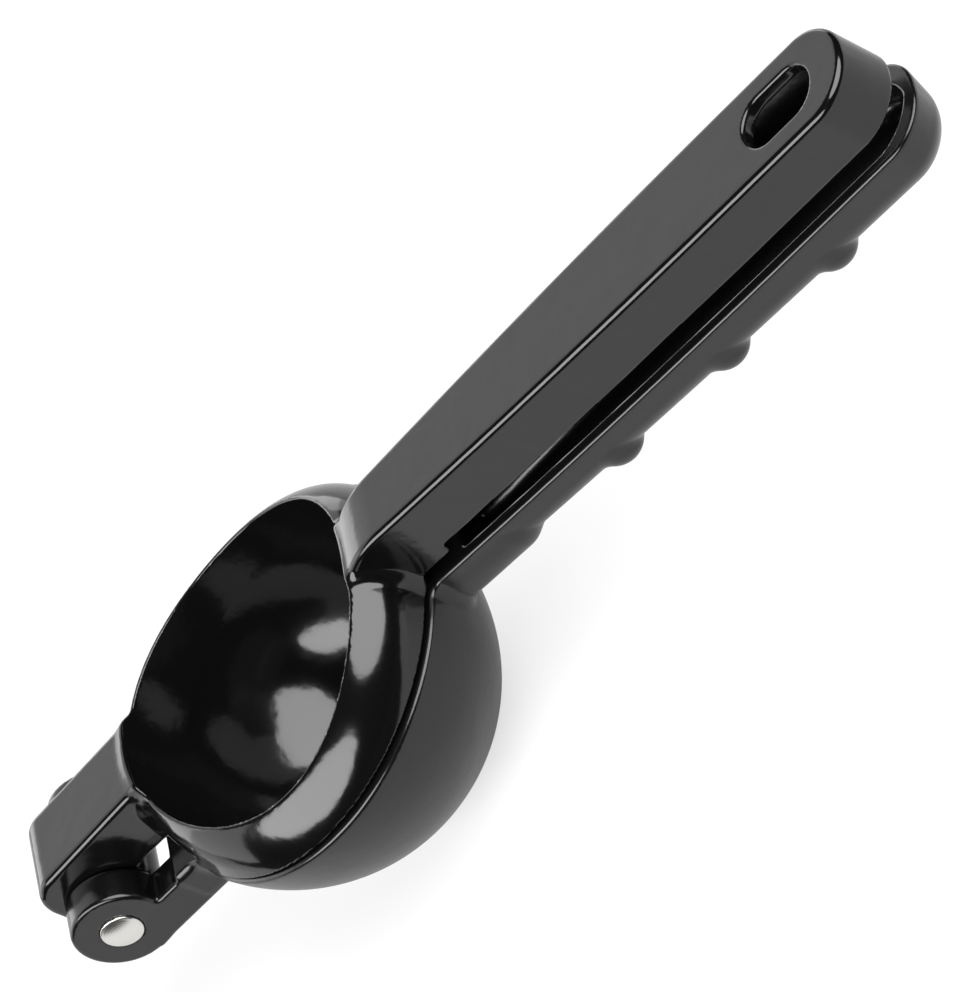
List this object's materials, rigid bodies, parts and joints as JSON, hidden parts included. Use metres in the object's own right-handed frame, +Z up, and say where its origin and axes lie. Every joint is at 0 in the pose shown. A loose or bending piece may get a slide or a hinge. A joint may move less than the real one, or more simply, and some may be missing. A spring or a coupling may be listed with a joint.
{
  "type": "hinged citrus squeezer",
  "caption": "Hinged hand press for lemons: a cup and a hollow pressing dome on long channel handles, turning on a steel pin.",
  "frame": {"origin": "middle of the bounding box, at the height of the lowest point of the cup", "axes": "+X along the handles away from the hinge, Y along the hinge pin, +Z up out of the open dish"},
  "size_m": [0.2386, 0.0758, 0.054],
  "materials": {
    "black_enamel": "glossy black enamel on cast aluminium",
    "pin_steel": "bright turned steel"
  },
  "bodies": {
    "cup": {"cup_half": "black_enamel", "hinge_pin": "pin_steel"},
    "press": {"press_half": "black_enamel"}
  },
  "joints": [
    {"name": "press_hinge", "type": "hinge", "parent": "cup", "child": "press", "pos_m": [-0.1098, 0, 0.0363], "axis": [0, -1, 0], "range_deg": [0, 180]}
  ]
}
